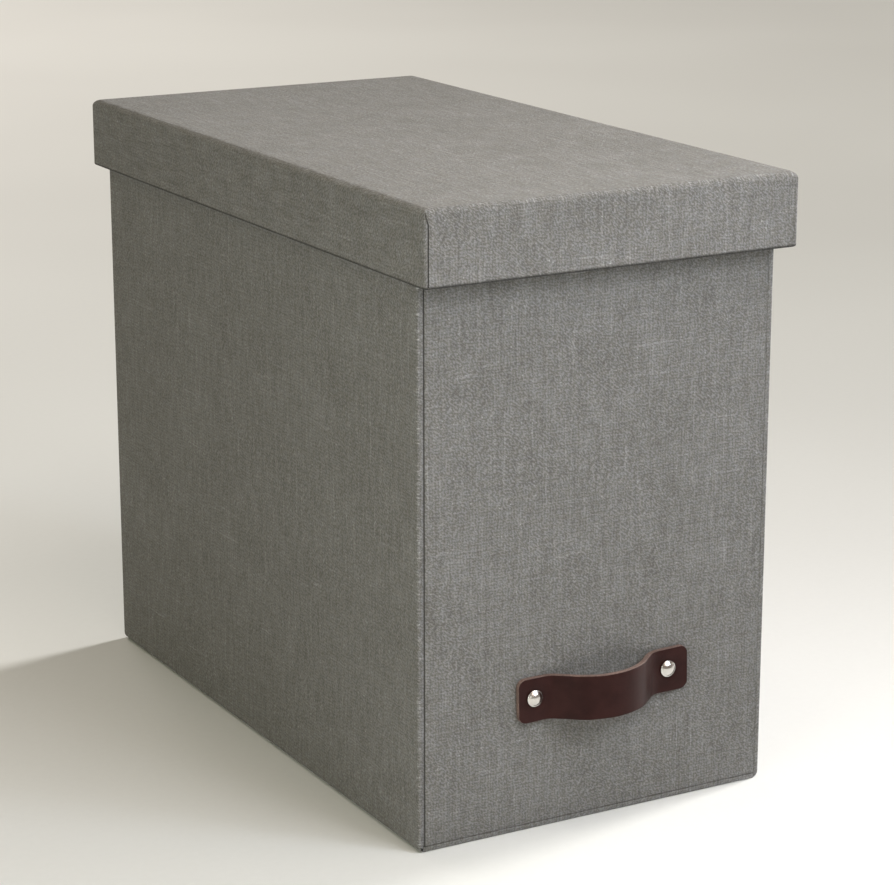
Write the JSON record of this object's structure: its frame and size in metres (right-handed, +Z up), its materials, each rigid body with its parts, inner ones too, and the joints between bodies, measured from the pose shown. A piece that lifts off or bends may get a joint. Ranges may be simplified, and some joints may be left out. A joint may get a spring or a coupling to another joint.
{
  "type": "archival box",
  "caption": "Tall cloth-covered file box with a deep lift-off lid, a riveted leather pull on one short side and steel rails inside for hanging folders.",
  "frame": {"origin": "centre of the body's underside, where the box rests; the pull stands out to one side and is left out of that centre", "axes": "+X to the right across the short side, +Y along the long side away from the pull, +Z up"},
  "size_m": [0.192, 0.3648, 0.2945],
  "materials": {
    "cover_cloth": "matt woven book cloth, mid grey",
    "wall_board": "grey solid board",
    "lining_paper": "matt off-white paper",
    "rail_steel": "zinc-plated sheet steel",
    "strap_leather": "smooth semi-gloss dark brown, raw cut edges",
    "nickel": "polished nickel plate",
    "rivet_steel": "plain plated steel"
  },
  "bodies": {
    "box": {"bottom_board": "wall_board", "left_board": "wall_board", "right_board": "wall_board", "front_board": "wall_board", "back_board": "wall_board", "left_cover": "cover_cloth", "right_cover": "cover_cloth", "bottom_cover": "cover_cloth", "front_cover": "cover_cloth", "back_cover": "cover_cloth", "left_lining": "lining_paper", "right_lining": "lining_paper", "front_lining": "lining_paper", "back_lining": "lining_paper", "bottom_lining": "lining_paper", "front_file_rail": "rail_steel", "back_file_rail": "rail_steel", "front_rail_rivets": "rail_steel", "back_rail_rivets": "rail_steel", "handle_strap": "strap_leather", "handle_rivet_caps": "nickel", "handle_rivet_posts": "rivet_steel", "handle_rivet_washers": "rivet_steel"},
    "lid": {"lid_top_board": "wall_board", "lid_left_board": "wall_board", "lid_right_board": "wall_board", "lid_front_board": "wall_board", "lid_back_board": "wall_board", "lid_cover": "cover_cloth", "lid_lining": "lining_paper"}
  },
  "joints": [
    {"name": "lid_lift", "type": "slide", "parent": "box", "child": "lid", "axis": [0, 0, 1], "range_m": [0, 0.2]}
  ]
}
